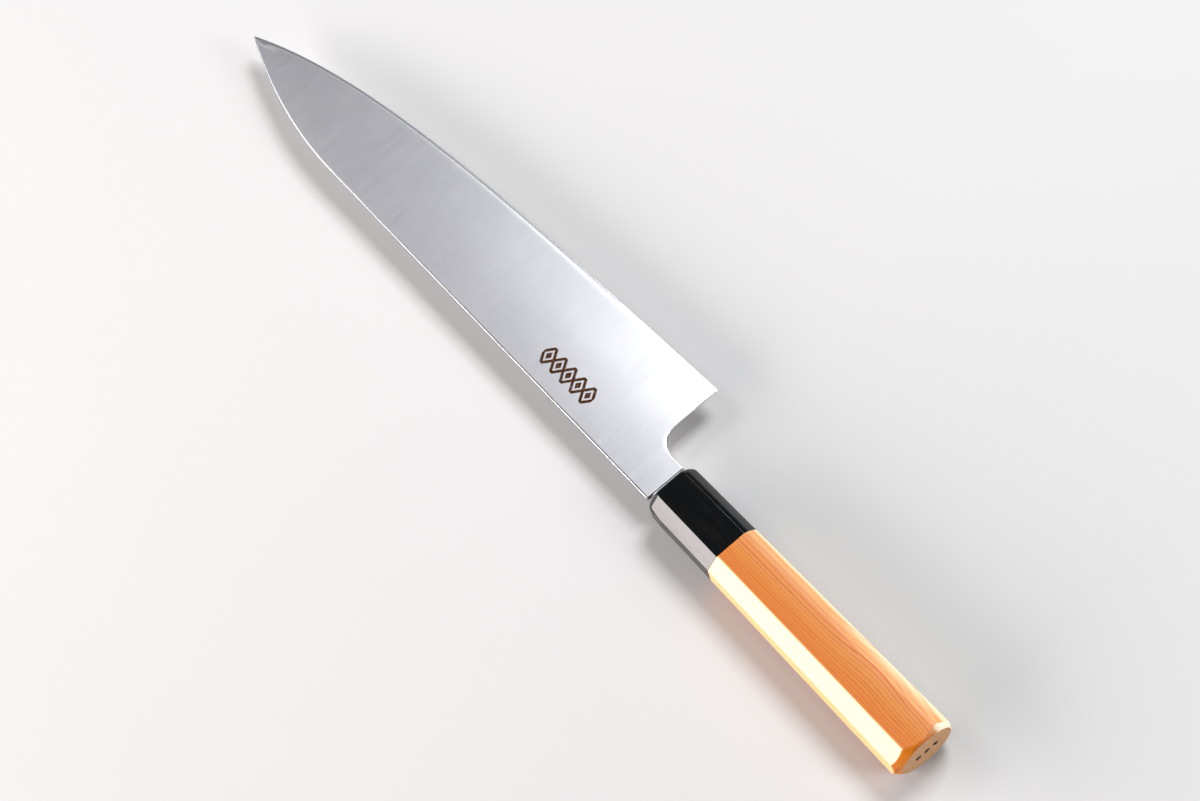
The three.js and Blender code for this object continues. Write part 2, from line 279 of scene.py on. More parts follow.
def blade_column(x, edge_y, lean):
    """Points from the spine to the cutting edge. Below the choil they lean forward."""
    top = spine_y(x)
    height = top - edge_y
    bevel = bevel_height(height)
    soften = bevel * BEVEL_SOFTENING
    arc_depth = ARC_SHARE * height
    depths = upper_depths(arc_depth, row_radius(height))
    depths += spread(arc_depth, height - bevel - soften, LOWER_ROWS + 1)[1:]
    depths += [height - bevel + soften, height]
    column = []
    for depth in depths:
        forward = lean * max(0.0, depth - arc_depth) / (height - arc_depth)
        half = finished(x + forward, top - depth, half_thickness(x, depth, height))
        column.append((x + forward, top - depth, half))
    return column


def neck_column(x, low_y):
    column = []
    for depth in upper_depths(SPINE_Y - low_y, RIM_RADIUS):
        half = finished(x, SPINE_Y - depth, half_thickness(x, depth, SPINE_Y - HEEL_Y))
        column.append((x, SPINE_Y - depth, half))
    return column


def tang_half_height(x):
    if x > 0:
        return lerp(TANG_FRONT_HALF, TANG_ROOT_HALF, (x / NECK_X) ** TANG_ROOT_CURVE)
    to_end = x - TANG_END_X
    if to_end < TANG_END_HALF:
        squared = TANG_END_HALF**2 - (TANG_END_HALF - to_end) ** 2
        return max(TANG_TIP_HALF, math.sqrt(squared))
    return lerp(TANG_FRONT_HALF, TANG_END_HALF, x / TANG_END_X)


def tang_column(x):
    half_height = tang_half_height(x)
    height = 2 * half_height
    thickness = lerp(TANG_THICKNESS, BLADE_THICKNESS, clamp(x / NECK_X))
    column = []
    for depth in upper_depths(height, row_radius(height)):
        half = rounded(thickness / 2, min(depth, height - depth), RIM_RADIUS)
        column.append((x, TANG_CENTRE_Y + half_height - depth, half))
    return column


def blade_columns():
    """Every column of the blade, from the tang's end to the tip."""
    tang = [TANG_END_X + step for step in TANG_END_STEPS]
    tang += spread(tang[-1], 0, TANG_COLUMNS)[1:]
    columns = [tang_column(x) for x in tang + TANG_ROOT_STEPS]
    neck = [NECK_X + RIM_RADIUS * step for step in RIM_STEPS]
    neck += spread(neck[-1], CHOIL_X, NECK_COLUMNS)[1:]
    columns += [neck_column(x, NECK_LOW_Y) for x in neck]
    for turn in spread(0, math.pi / 2, ARC_COLUMNS)[1:-1]:
        low_y = CHOIL_LOW_Y + CHOIL_RADIUS * math.cos(turn)
        columns.append(neck_column(CHOIL_X + CHOIL_RADIUS * math.sin(turn), low_y))
    for step in RIM_STEPS:
        x = HEEL_X - HEEL_LEAN + RIM_RADIUS * step
        columns.append(blade_column(x, HEEL_Y, HEEL_LEAN))
    for share in spread(0, 1, EDGE_COLUMNS)[1:]:
        x, y = edge_point(share)
        columns.append(blade_column(x, y, 0.0))
    return columns


def blade_mesh():
    """Both flanks as a grid of columns, with a wall between them along every open side."""
    points = []
    starts = []
    for column in blade_columns():
        starts.append(len(points))
        points += column
    ends = starts[1:] + [len(points)]
    upper = []
    for c in range(len(starts) - 1):
        rows = min(ends[c] - starts[c], ends[c + 1] - starts[c + 1])
        for row in range(rows - 1):
            a = starts[c] + row
            b = starts[c + 1] + row
            upper.append((a, a + 1, b + 1, b))
    half = len(points)
    lower = [tuple(index + half for index in reversed(face)) for face in upper]
    sides = {(face[i], face[(i + 1) % 4]) for face in upper for i in range(4)}
    walls = [(b, a, a + half, b + half) for a, b in sorted(sides) if (b, a) not in sides]
    points += [(x, y, -z) for x, y, z in points]
    return points, upper + lower + walls


# ---- Octagonal handle ----


def handle_height(x):
    return lerp(FRONT_HEIGHT, BUTT_HEIGHT, -x / HANDLE_LENGTH)


SIDES = 8
SIDE_TURN = math.pi / 4
LEG_LOSS = 2 - math.sqrt(2)  # how much each unit taken off the octagon's sides shortens a bevel's leg
CORNER_STEPS = 9
FACET_STEPS = (0.03, 0.12, 0.36, 0.64, 0.88, 0.97)  # shares of the way along a facet
CROWN = math.radians(EDGE_BEVEL_CROWN)
FACET_CROWNS = (0, 0, CROWN, 0, CROWN, 0, 0, 0)  # after each corner in turn


def corner_radii(x, inset):
    """The radius of each corner of the octagon, from the spine-side face round to the far bevel."""
    front = (inset / FRONT_ROUNDING) ** FRONT_SOFTENING
    crisp = lerp(CORNER_RADIUS, FRONT_CORNER_RADIUS, front)
    wear = clamp((-x - FERRULE_LENGTH) / WORN_REACH)
    worn = lerp(lerp(FERRULE_EDGE_RADIUS, WORN_RADIUS, wear), FRONT_CORNER_RADIUS, front)
    edge = lerp(EDGE_SIDE_RADIUS, FRONT_CORNER_RADIUS, front)
    spine = lerp(crisp, FRONT_CORNER_RADIUS, clamp(1 + x / SPINE_CORNER_REACH))
    return [spine, crisp, worn, edge, edge, worn, crisp, spine]


def octagon_corners(x, shrink):
    """The corners of the handle's outline at x before they are rounded, taken in on every side."""
    height = handle_height(x)
    half_y = height / 2 - shrink
    half_z = height * WIDTH_SHARE / 2 - shrink
    leg = height * BEVEL_SHARE - shrink * LEG_LOSS
    corners = [(half_y, half_z - leg), (half_y - leg, half_z)]
    corners += [(-y, z) for y, z in reversed(corners)]
    return corners + [(-y, -z) for y, z in corners]


def corner_arc(index, corner, radius):
    """The points of one rounded corner, which turns less where a facet beside it is crowned."""
    start = index * SIDE_TURN + FACET_CROWNS[index - 1]
    end = (index + 1) * SIDE_TURN - FACET_CROWNS[index]
    away = radius / math.cos((end - start) / 2)
    middle = (start + end) / 2
    centre_y = corner[0] - away * math.cos(middle)
    centre_z = corner[1] - away * math.sin(middle)
    turns = spread(start, end, CORNER_STEPS)
    return [(centre_y + radius * math.cos(t), centre_z + radius * math.sin(t)) for t in turns]


def facet_points(index, start, end):
    """Points along the facet after a corner, which bulges as a parabola where it is crowned."""
    rise = 2 * math.dist(start, end) * math.tan(FACET_CROWNS[index] / 2)
    out = (index + 1) * SIDE_TURN
    points = []
    for step in FACET_STEPS:
        bulge = rise * step * (1 - step)
        y = lerp(start[0], end[0], step) + bulge * math.cos(out)
        z = lerp(start[1], end[1], step) + bulge * math.sin(out)
        points.append((y, z))
    return points


def octagon(x, inset=0.0, cut=0.0):
    """The handle's outline at x, as pairs of y and z. Inset rounds its corners off; cut doesn't."""
    corners = octagon_corners(x, inset + cut)
    radii = corner_radii(x, inset)
    arcs = [corner_arc(index, corners[index], radii[index]) for index in range(SIDES)]
    ring = []
    for index, arc in enumerate(arcs):
        ring += arc + facet_points(index, arc[-1], arcs[(index + 1) % SIDES][0])
    return ring


def at(x, ring):
    return [(x, y, z) for y, z in ring]


def polar(ring, reach):
    """The point at the same angle as each of ring's points, as far out as reach(angle) says."""
    angles = [math.atan2(z, y) for y, z in ring]
    return [(reach(a) * math.cos(a), reach(a) * math.sin(a)) for a in angles]


ALMOST_NOTHING = 1e-6  # keeps a division from failing


def mouth_reach(angle):
    """The rectangular mouth of the ferrule, as a distance from the axis."""
    y = max(abs(math.cos(angle)), ALMOST_NOTHING)
    z = max(abs(math.sin(angle)), ALMOST_NOTHING)
    return min(MOUTH_HEIGHT / 2 / y, MOUTH_WIDTH / 2 / z)


def lofted(rings, closed):
    """Joins rings in order. Closed joins the last to the first; otherwise both ends get a fan."""
    count = len(rings[0])
    points = [point for ring in rings for point in ring]
    faces = []
    for r in range(len(rings) if closed else len(rings) - 1):
        first = r * count
        second = (r + 1) % len(rings) * count
        for i in range(count):
            j = (i + 1) % count
            faces.append((first + i, second + i, second + j, first + j))
    if not closed:
        for first, ring, turn in ((0, rings[0], 1), ((len(rings) - 1) * count, rings[-1], -1)):
            centre = len(points)
            points.append(tuple(sum(p[axis] for p in ring) / count for axis in range(3)))
            faces += [(centre, first + i, first + (i + 1) % count)[::turn] for i in range(count)]
    return points, faces


def bore(ring, radius):
    """A round hole with a point for each of ring's points."""
    return polar(ring, lambda angle: radius)


FACE_MARGIN = 0.3  # an extra ring this far inside the ferrule's front face, and behind its rounding
ROUNDING_RINGS = 15
FERRULE_RINGS = 8
JOINT_RING = 0.2  # an extra ring this far from the joint, on each side of it


def ferrule_mesh():
    front = octagon(0, FRONT_ROUNDING)
    mouth = polar(front, mouth_reach)
    taller, wider = MOUTH_EASE
    back_x = -FERRULE_LENGTH + JOINT_GAP / 2
    bevel_length, bevel_depth = JOINT_BEVEL
    rings = [
        at(-FERRULE_WALL, mouth),
        at(-MOUTH_EASE_DEPTH, mouth),
        at(0, [(y * taller, z * wider) for y, z in mouth]),
        at(0, octagon(0, FRONT_ROUNDING, cut=FACE_MARGIN)),
    ]
    for turn in spread(0, math.pi / 2, ROUNDING_RINGS):
        x = -FRONT_ROUNDING * (1 - math.cos(turn))
        rings.append(at(x, octagon(x, FRONT_ROUNDING * (1 - math.sin(turn)))))
    places = spread(-FRONT_ROUNDING - FACE_MARGIN, back_x + JOINT_RING, FERRULE_RINGS)
    rings += [at(x, octagon(x)) for x in places]
    rings += [
        at(back_x + bevel_length, octagon(back_x)),
        at(back_x, octagon(back_x, cut=bevel_depth)),
        at(back_x, bore(octagon(back_x), BORE_RADIUS)),
        at(-FERRULE_WALL, bore(front, BORE_RADIUS)),
    ]
    return lofted(rings, closed=True)


def butt_norm(y, z):
    """How many times larger than the end face is the oval that passes through a point."""
    return math.hypot((y - BUTT_CENTRE[0]) / BUTT_HALF[0], (z - BUTT_CENTRE[1]) / BUTT_HALF[1])


def on_oval(point, size):
    """The point in the same direction from the end face's centre, on the oval size times as large."""
    share = size / butt_norm(*point)
    return [lerp(middle, value, share) for middle, value in zip(BUTT_CENTRE, point)]


CREASE_RINGS = (3.0, 0.6, 0.14)  # how far ahead of the crease the octagon's last rings are
CONE_RINGS = (0.94, 0.5, 0.08)  # the cone's rings, as shares of the way from the end face to the crease
FACE_RINGS = (0.985, 0.96, 0.6, 0.25)  # the end face's rings, as shares of its size
BODY_RINGS = 16
BODY_END = 9.0  # the evenly spaced rings stop this far ahead of the butt


def butt_rings():
    """The trimmed end: the octagon up to a curved crease, then an oval cone to the end face."""
    butt_x = -HANDLE_LENGTH
    shape = octagon(butt_x)
    crease = [(butt_norm(y, z) - 1) / BUTT_CONE_RISE for y, z in shape]
    rings = []
    for ahead in CREASE_RINGS:
        places = [butt_x + rise + ahead for rise in crease]
        rings.append([(x, *octagon(x)[index]) for index, x in enumerate(places)])
    for left in CONE_RINGS:
        sizes = [1 + BUTT_CONE_RISE * rise * left for rise in crease]
        ring = [on_oval(point, size) for point, size in zip(shape, sizes)]
        rings.append([(butt_x + rise * left, y, z) for (y, z), rise in zip(ring, crease)])
    for size in FACE_RINGS:
        rings.append(at(butt_x, [on_oval(point, size) for point in shape]))
    return rings


def handle_body_mesh():
    front_x = -FERRULE_LENGTH - JOINT_GAP / 2
    front = octagon(front_x)
    bevel_length, bevel_depth = JOINT_BEVEL
    rings = [
        at(TANG_BORE_END_X, bore(front, TANG_BORE_RADIUS)),
        at(BORE_END_X, bore(front, TANG_BORE_RADIUS)),
        at(BORE_END_X, bore(front, BORE_RADIUS)),
        at(front_x, bore(front, BORE_RADIUS)),
        at(front_x, octagon(front_x, cut=bevel_depth)),
        at(front_x - bevel_length, octagon(front_x)),
    ]
    places = spread(front_x - JOINT_RING, -HANDLE_LENGTH + BODY_END, BODY_RINGS)
    rings += [at(x, octagon(x)) for x in places]
    return lofted(rings + butt_rings(), closed=False)


# ---- Material helpers ----


class Nodes:
    """Builds one material's node tree. An input is a number, a colour or another node's output."""

    def __init__(self, name):
        self.material = bpy.data.materials.new(name)
        self.material.use_nodes = True
        self.tree = self.material.node_tree
        self.tree.nodes.clear()
        self.output = self.tree.nodes.new("ShaderNodeOutputMaterial")
        place_of = self.add("ShaderNodeTexCoord")
        self.here = place_of.outputs["Object"]
        self.normal = place_of.outputs["Normal"]

    def add(self, kind, inputs=None, **settings):
        node = self.tree.nodes.new(kind)
        for key, value in settings.items():
            setattr(node, key, value)
        for key, value in (inputs or {}).items():
            if isinstance(value, bpy.types.NodeSocket):
                self.tree.links.new(value, node.inputs[key])
            else:
                node.inputs[key].default_value = value
        return node

    def math(self, operation, a, b=0.0, c=0.0):
        return self.add("ShaderNodeMath", {0: a, 1: b, 2: c}, operation=operation).outputs[0]

    def plus(self, a, b):
        return self.math("ADD", a, b)

    def minus(self, a, b):
        return self.math("SUBTRACT", a, b)

    def times(self, a, b):
        return self.math("MULTIPLY", a, b)

    def vector(self, operation, a, b):
        return self.add("ShaderNodeVectorMath", {0: a, 1: b}, operation=operation).outputs[0]

    def split(self, vector):
        return self.add("ShaderNodeSeparateXYZ", {0: vector}).outputs

    def join(self, x, y, z):
        return self.add("ShaderNodeCombineXYZ", {0: x, 1: y, 2: z}).outputs[0]

    def grey(self, value):
        return self.join(value, value, value)

    def scaled(self, colour, value):
        """A colour made brighter or darker by a number."""
        return self.vector("MULTIPLY", colour, self.grey(value))

    def noise(self, scale, stretch=(1, 1, 1), detail=3.0, rough=0.5, offset=0.0):
        """Noise with scale cells to a metre, times stretch along each axis, from 0 to 1."""
        where = self.vector("MULTIPLY", self.here, tuple(scale * s for s in stretch))
        inputs = {"Vector": where, "Scale": 1.0, "Detail": detail, "Roughness": rough, "W": offset}
        return self.add("ShaderNodeTexNoise", inputs, noise_dimensions="4D").outputs["Fac"]

    def ramp(self, value, stops, smooth=False):
        """value through a colour ramp. Each stop is a place from 0 to 1 and a grey or a colour."""
        node = self.add("ShaderNodeValToRGB", {0: value})
        ramp = node.color_ramp
        ramp.interpolation = "EASE" if smooth else "LINEAR"
        while len(ramp.elements) < len(stops):
            ramp.elements.new(0.5)
        for element, (position, colour) in zip(ramp.elements, stops):
            element.position = position
            element.color = (colour,) * 3 + (1,) if isinstance(colour, (int, float)) else (*colour, 1)
        return node.outputs["Color"]

    def between(self, value, low, high, to_low=0.0, to_high=1.0):
        """value from the range low to high onto another range, and no further."""
        inputs = {"Value": value, "From Min": low, "From Max": high, "To Min": to_low, "To Max": to_high}
        return self.add("ShaderNodeMapRange", inputs, clamp=True).outputs["Result"]

    def band(self, value, rise_start, rise_end, fall_start, fall_end):
        """0 up to rise_start, 1 from rise_end to fall_start, and 0 from fall_end on."""
        rising = self.between(value, rise_start, rise_end)
        return self.times(rising, self.between(value, fall_start, fall_end, 1.0, 0.0))

    def mix(self, share, a, b):
        """Colour a where share is 0 and colour b where it is 1."""
        node = self.add("ShaderNodeMix", {0: share}, data_type="RGBA")
        for socket, value in ((node.inputs[6], a), (node.inputs[7], b)):
            if isinstance(value, tuple):
                socket.default_value = (*value, 1)
            else:
                self.tree.links.new(value, socket)
        return node.outputs[2]

    def blend(self, share, a, b):
        """Number a where share is 0 and number b where it is 1."""
        return self.add("ShaderNodeMix", {0: share, 2: a, 3: b}, data_type="FLOAT").outputs[0]

    def bump(self, height, distance_mm, normal=None):
        inputs = {"Height": height, "Strength": 1.0, "Distance": distance_mm * MM}
        if normal is not None:
            inputs["Normal"] = normal
        return self.add("ShaderNodeBump", inputs).outputs["Normal"]

    def finish(self, **inputs):
        named = {key.replace("_", " "): value for key, value in inputs.items()}
        shader = self.add("ShaderNodeBsdfPrincipled", named)
        self.tree.links.new(shader.outputs[0], self.output.inputs[0])
        return self.material

    def knife_place(self):
        """Where a point is in the knife's own frame, in millimetres, as x, y and z."""
        local = self.vector("SUBTRACT", self.here, tuple(ORIGIN))
        return self.split(self.vector("MULTIPLY", local, (1 / MM,) * 3))


# Each colour in the materials is a share of red, green and blue. Each set of four numbers that
# goes to between is the two ends of a range and the values there, and a set of two is a range
# whose values are 0 and 1.

# ---- Steel ----

MARK_X = (46.0, 74.0)  # the etched band of lozenges, along the blade
MARK_Y = (-6.2, 2.0)
MARK_CELLS = 5
MARK_LINE = 0.25  # half the width of a lozenge's line, as a share of the lozenge
MARK_CORE = 0.45  # the size of the solid lozenge inside it, as the same kind of share
MARK_FADE = 0.1  # how softly the band's two ends stop, in millimetres
MARK_WEAR = (0.28, 0.38)  # noise below the first is bare steel, and above the second is mark
MARK_DEPTH = 2.0  # how many polishing lines deep it is

BRIGHT_STEEL = (0.745, 0.745, 0.775)
CLOUDED_STEEL = (0.695, 0.695, 0.735)
MOTTLED_STEEL = (0.58, 0.58, 0.62)
STREAKED_STEEL = (0.60, 0.60, 0.63)
SWEPT_STEEL = (0.52, 0.52, 0.55)
SMUDGED_STEEL = (0.40, 0.37, 0.36)
PAINTED_BEVEL_HIGHLIGHT = (0.93, 0.93, 0.94)  # a painted highlight: the bright line along the top of the sharpened bevel
RIM_STEEL = (0.34, 0.34, 0.35)
WALL_STEEL = (0.45, 0.45, 0.46)
ETCHED_STEEL = (0.060, 0.022, 0.007)

# How far a surface turns away from the blade's broad sides, in degrees.
FLANK_TILT = (40.0, 25.0)  # the flanks are under these, and the rims beyond
GROUND_TILT = (5.0, 7.0)  # the sharpened bevel is beyond these
PAINTED_HIGHLIGHT_TILT = (2.8, 4.0, 5.0, 6.5)  # the painted highlight is between the middle two
WALL_TILT = (60.0, 80.0)  # the upright middle of a rim is beyond these

# How much a surface faces the spine side, from 0 to 1.
EASED_LEAN = (0.015, 0.04)  # the spine's eased corner is beyond these
SPINE_RIM_LEAN = (0.2, 0.4)  # and its rim beyond these

# Places along the blade, in millimetres.
NECK_REACH = (50.0, 15.0)  # the duller patches get stronger from the first to the second
SMUDGE_REACH = (192.0, 202.0, 222.0, 230.0)  # the smudges are between the middle two
HONED_TONE = (95.0, 252.0, 0.65, 1.4)  # how bright the sharpened bevel is beside the flank
PAINTED_EASED_SHADE = (20.0, 150.0, 0.92, 0.45)  # painted shade: how bright the spine's eased corner is beside the flank
PAINTED_SPINE_RIM_SHADE = (15.0, 190.0, 0.62, 0.26)  # the grey of the spine's rim, a painted shade that darkens along the blade
PAINTED_SPINE_TIP_SHADE = (190.0, 228.0, 1.0, 0.12)  # and how much of it is left towards the tip, where painted shade dims the rim's highlight

CLOUD_RANGE = (0.3, 0.7)
MOTTLE_RANGE = (0.35, 0.7)
MOTTLE_SHARE = 0.16  # of MOTTLED_STEEL where the mottling is strongest, and what the neck adds
MOTTLE_AT_NECK = 0.24
STREAK_SHARE = (0.3, 0.7, 0.0, 0.18)
SWEEP_RANGE = (0.35, 0.7)
SWEEP_SHARE = 0.14
SWEEP_AT_NECK = 0.22
SMUDGE_RANGE = (0.60, 0.68)
SMUDGE_SHARE = 0.5

SATIN_ROUGHNESS = (0.25, 0.75, 0.31, 0.37)
SMUDGE_ROUGHNESS = 0.04  # what a smudge adds
HONED_ROUGHNESS = 0.27
RIM_ROUGHNESS = 0.2
ETCHED_ROUGHNESS = 0.7
LINE_DEPTH = 0.006  # the polishing lines, in millimetres
STREAK_RELIEF = 0.6  # the shares of that depth that the coarser and the finer lines have
FINE_RELIEF = 0.4
HONED_RELIEF = 0.15  # how much of it is left on the sharpened bevel


def etched_band(n, x, y, facing):
    """1 on the lines of a plain etched band of lozenges on the right-hand side, and 0 elsewhere."""
    cell = (MARK_X[1] - MARK_X[0]) / MARK_CELLS
    half = (MARK_Y[1] - MARK_Y[0]) / 2
    along = n.math("DIVIDE", n.minus(x, MARK_X[0]), cell)
    across = n.math("ABSOLUTE", n.math("DIVIDE", n.minus(y, sum(MARK_Y) / 2), half))
    wave = n.math("ABSOLUTE", n.minus(n.math("FRACT", along), 0.5))
    diamond = n.plus(n.times(wave, 2.0), across)
    outer = n.math("COMPARE", diamond, 1.0, MARK_LINE)
    inner = n.math("LESS_THAN", diamond, MARK_CORE)
    lines = n.math("MAXIMUM", outer, inner)
    inside = n.times(n.math("LESS_THAN", across, 1.0), n.between(x, MARK_X[0] - MARK_FADE, MARK_X[0]))
    inside = n.times(inside, n.between(x, MARK_X[1], MARK_X[1] + MARK_FADE, 1.0, 0.0))
    wear = n.between(n.noise(2600, detail=2), *MARK_WEAR)
    return n.times(n.times(lines, inside), n.times(wear, facing))


def smudges(n, x):
    """1 in a few short smudges near the tip, and 0 elsewhere."""
    scuff = n.noise(1, (520, 230, 60), detail=4, rough=0.6, offset=7.7)
    return n.times(n.between(scuff, *SMUDGE_RANGE), n.band(x, *SMUDGE_REACH))


def satin_tone(n, x, streak):
    """The broad sides: clouded, streaked, and duller in patches, mostly near the neck."""
    near_neck = n.between(x, *NECK_REACH)
    cloud = n.noise(60, (1, 1.2, 1), detail=5, rough=0.6)
    tone = n.mix(n.between(cloud, *CLOUD_RANGE), CLOUDED_STEEL, BRIGHT_STEEL)
    mottle = n.noise(420, detail=4, rough=0.65, offset=5.5)
    share = n.math("MULTIPLY_ADD", near_neck, MOTTLE_AT_NECK, MOTTLE_SHARE)
    tone = n.mix(n.times(n.between(mottle, *MOTTLE_RANGE), share), tone, MOTTLED_STEEL)
    tone = n.mix(n.between(streak, *STREAK_SHARE), tone, STREAKED_STEEL)
    sweep = n.noise(1, (330, 48, 60), detail=4, rough=0.6, offset=2.2)
    share = n.math("MULTIPLY_ADD", near_neck, SWEEP_AT_NECK, SWEEP_SHARE)
    return n.mix(n.times(n.between(sweep, *SWEEP_RANGE), share), tone, SWEPT_STEEL)


def rim_tone(n, x, to_spine, tilt):
    """The polished rims. The spine's is painted darker towards the tip, a painted shade that dims its
    highlight.
    """
    # painted shade on the spine's rim, darker along the blade and towards the tip
    spine = n.times(n.between(x, *PAINTED_SPINE_RIM_SHADE), n.between(x, *PAINTED_SPINE_TIP_SHADE))
    rim = n.mix(n.between(to_spine, *SPINE_RIM_LEAN), RIM_STEEL, n.grey(spine))
    return n.mix(n.between(tilt, *WALL_TILT), rim, WALL_STEEL)


def steel_roughness(n, streak, smudge, ground, flank, mark):
    rough = n.between(streak, *SATIN_ROUGHNESS)
    rough = n.plus(rough, n.times(smudge, SMUDGE_ROUGHNESS))
    rough = n.blend(ground, rough, HONED_ROUGHNESS)
    rough = n.blend(flank, RIM_ROUGHNESS, rough)
    return n.blend(mark, rough, ETCHED_ROUGHNESS)


def steel_relief(n, streak, ground, flank, mark):
    """Polishing lines across the flanks, fainter on the sharpened bevel, and the sunken mark."""
    fine = n.noise(1, (16000, 260, 900), detail=3, rough=0.7, offset=3.1)
    lines = n.plus(n.times(streak, STREAK_RELIEF), n.times(fine, FINE_RELIEF))
    lines = n.times(n.minus(lines, n.times(mark, MARK_DEPTH)), flank)
    lines = n.times(lines, n.between(ground, 0.0, 1.0, 1.0, HONED_RELIEF))
    return n.bump(lines, LINE_DEPTH)


def steel_material():
    n = Nodes("satin_steel")
    x, y, _ = n.knife_place()
    _, to_spine, up = n.split(n.normal)
    tilt = n.math("DEGREES", n.math("ARCCOSINE", n.math("MINIMUM", n.math("ABSOLUTE", up), 1.0)))
    flank = n.between(tilt, *FLANK_TILT)
    ground = n.between(tilt, *GROUND_TILT)
    mark = etched_band(n, x, y, n.math("GREATER_THAN", up, 0.5))
    smudge = smudges(n, x)
    streak = n.noise(1, (5200, 90, 400), detail=4, rough=0.65)
    tone = n.mix(n.times(smudge, SMUDGE_SHARE), satin_tone(n, x, streak), SMUDGED_STEEL)
    tone = n.mix(ground, tone, n.scaled(tone, n.between(x, *HONED_TONE)))
    # painted shade along the spine's eased corner, darker further along the blade
    eased = n.scaled(tone, n.between(x, *PAINTED_EASED_SHADE))
    tone = n.mix(n.between(to_spine, *EASED_LEAN), tone, eased)
    # a painted highlight along the top of the sharpened bevel
    tone = n.mix(n.band(tilt, *PAINTED_HIGHLIGHT_TILT), tone, PAINTED_BEVEL_HIGHLIGHT)
    tone = n.mix(flank, rim_tone(n, x, to_spine, tilt), tone)
    tone = n.mix(mark, tone, ETCHED_STEEL)
    rough = steel_roughness(n, streak, smudge, ground, flank, mark)
    relief = steel_relief(n, streak, ground, flank, mark)
    return n.finish(Base_Color=tone, Roughness=rough, Metallic=1.0, Normal=relief)


# ---- Horn ----

BLACK_HORN = (0.0010, 0.0018, 0.0022)
BROWN_HORN = (0.005, 0.004, 0.0035)  # in the fibres
PAINTED_SHEEN_HORN = (0.002, 0.004, 0.006)  # in the clouds, a painted blue sheen over the horn's cloudy tone
HORN_FIBRES = (0.45, 0.75)
HORN_SHEEN_CLOUDS = (0.5, 0.75, 0.0, 0.5)
HORN_ROUGHNESS = (0.8, 1.25, 0.07, 0.16)
DULL_SPINE_SIDE = (6.4, 11.0, 0.0, 0.12)  # the roughness that the spine side adds
DULL_PATCHES = (0.3, 0.65)
HORN_IOR = 1.5
FIBRE_DEPTH = 0.004  # the horn's relief, in millimetres
CLOUD_DEPTH = 0.006
SCRATCH_DEPTH = 0.002


def horn_material():
    n = Nodes("black_horn")
    fibre = n.noise(1, (40, 900, 900), detail=5, rough=0.65)
    cloud = n.noise(260, (0.5, 1, 1), detail=4, rough=0.6, offset=2.0)
    scratch = n.noise(1, (60, 5200, 5200), detail=2, rough=0.6, offset=5.0)
    haze = n.noise(1, (130, 620, 620), detail=4, rough=0.7, offset=6.4)
    tone = n.mix(n.between(fibre, *HORN_FIBRES), BLACK_HORN, BROWN_HORN)
    # the horn's cloudy tone, tinted blue as a painted sheen
    tone = n.mix(n.between(cloud, *HORN_SHEEN_CLOUDS), tone, PAINTED_SHEEN_HORN)
    dull = n.between(n.knife_place()[1], *DULL_SPINE_SIDE)
    rough = n.between(n.plus(fibre, haze), *HORN_ROUGHNESS)
    rough = n.plus(rough, n.times(dull, n.between(haze, *DULL_PATCHES)))
    relief = n.bump(cloud, CLOUD_DEPTH, n.bump(fibre, FIBRE_DEPTH))
    relief = n.bump(scratch, SCRATCH_DEPTH, relief)
    return n.finish(Base_Color=tone, Roughness=rough, Normal=relief, IOR=HORN_IOR)


# ---- Handle wood ----

PITH = (30.0, -5.0)  # the tree's heart, in the knife's own frame, as y and z
RINGS_PER_MM = 2.42  # at the heart; the rings get wider outwards
RING_WIDENING = 0.0213
RING_BEND = 3.2  # how far the rings wander over a long way, in millimetres
RING_RIPPLE = 0.45  # and over a short way
RING_UNEVENNESS = 1.6  # how unevenly the years are spaced, in rings
SWELL_X = -108.0  # where the grain bulges towards the edge side
SWELL_REACH = 17.0
SWELL_HEIGHT = 2.2
SWELL_SIDE = (5.0, -7.0)  # the bulge grows from the first of these places across the handle to the next
LATE_WOOD = [(0.0, 0.0), (0.45, 0.1), (0.78, 1.0), (0.9, 0.8), (1.0, 0.0)]  # through one year
LATE_STRENGTH = (0.0, 1.0, 0.4, 1.0)

PALE_SIDE = (8.0, -13.0)  # across the handle, from the deepest colour to the palest
PALE_WANDER = 2.0  # how far those places wander, in millimetres
EARLY_TONES = [
    (0.0, (0.535, 0.160, 0.005)),
    (0.22, (0.51, 0.152, 0.006)),
    (0.36, (0.52, 0.172, 0.010)),
    (0.58, (0.53, 0.205, 0.042)),
    (0.68, (0.555, 0.215, 0.060)),
    (0.74, (0.74, 0.35, 0.135)),
    (0.84, (0.84, 0.50, 0.25)),
    (0.90, (0.90, 0.70, 0.42)),
    (0.95, (0.92, 0.81, 0.56)),
]
LATE_SHADES = [(0.6, (0.76, 0.45, 0.23)), (0.95, (0.90, 0.62, 0.42))]  # late wood over early wood
SAP_DEPTH = 0.5  # how thick the pale layer under the spine-side bevel is
SAP_FULL = 0.4  # the share of that depth that is pale all through
SAP_WOBBLE = 0.3  # how much its depth varies, in millimetres
PAINTED_SHADE_FACING = (0.8, 0.95)
SAP_EARLY = ((0.84, 0.60, 0.37), (0.80, 0.46, 0.21))  # on the bevel, and on the spine-side face, where painted shade deepens it, here and in the late wood below
SAP_LATE = ((0.80, 0.52, 0.26), (0.74, 0.36, 0.13))
FIBRE_SHARE = (0.35, 0.75, 0.0, 0.4)

# How much a surface faces along the handle, from 0 to 1.
END_FACING = (0.8, 0.95)
CONE_FACING = (0.3, 0.55)

# Places across the butt, in millimetres.
CONE_SHADE_TONE_SIDE = (1.0, 7.0)  # the cone's painted shade goes from one of the next two colours to the other
# painted shade on the butt's cone, whose faces tilt away from the light
PAINTED_CONE_SHADES = ((0.48, 0.12, 0.001), (0.64, 0.175, 0.001))
CONE_SHADE_SIDE = (-6.0, 0.5)
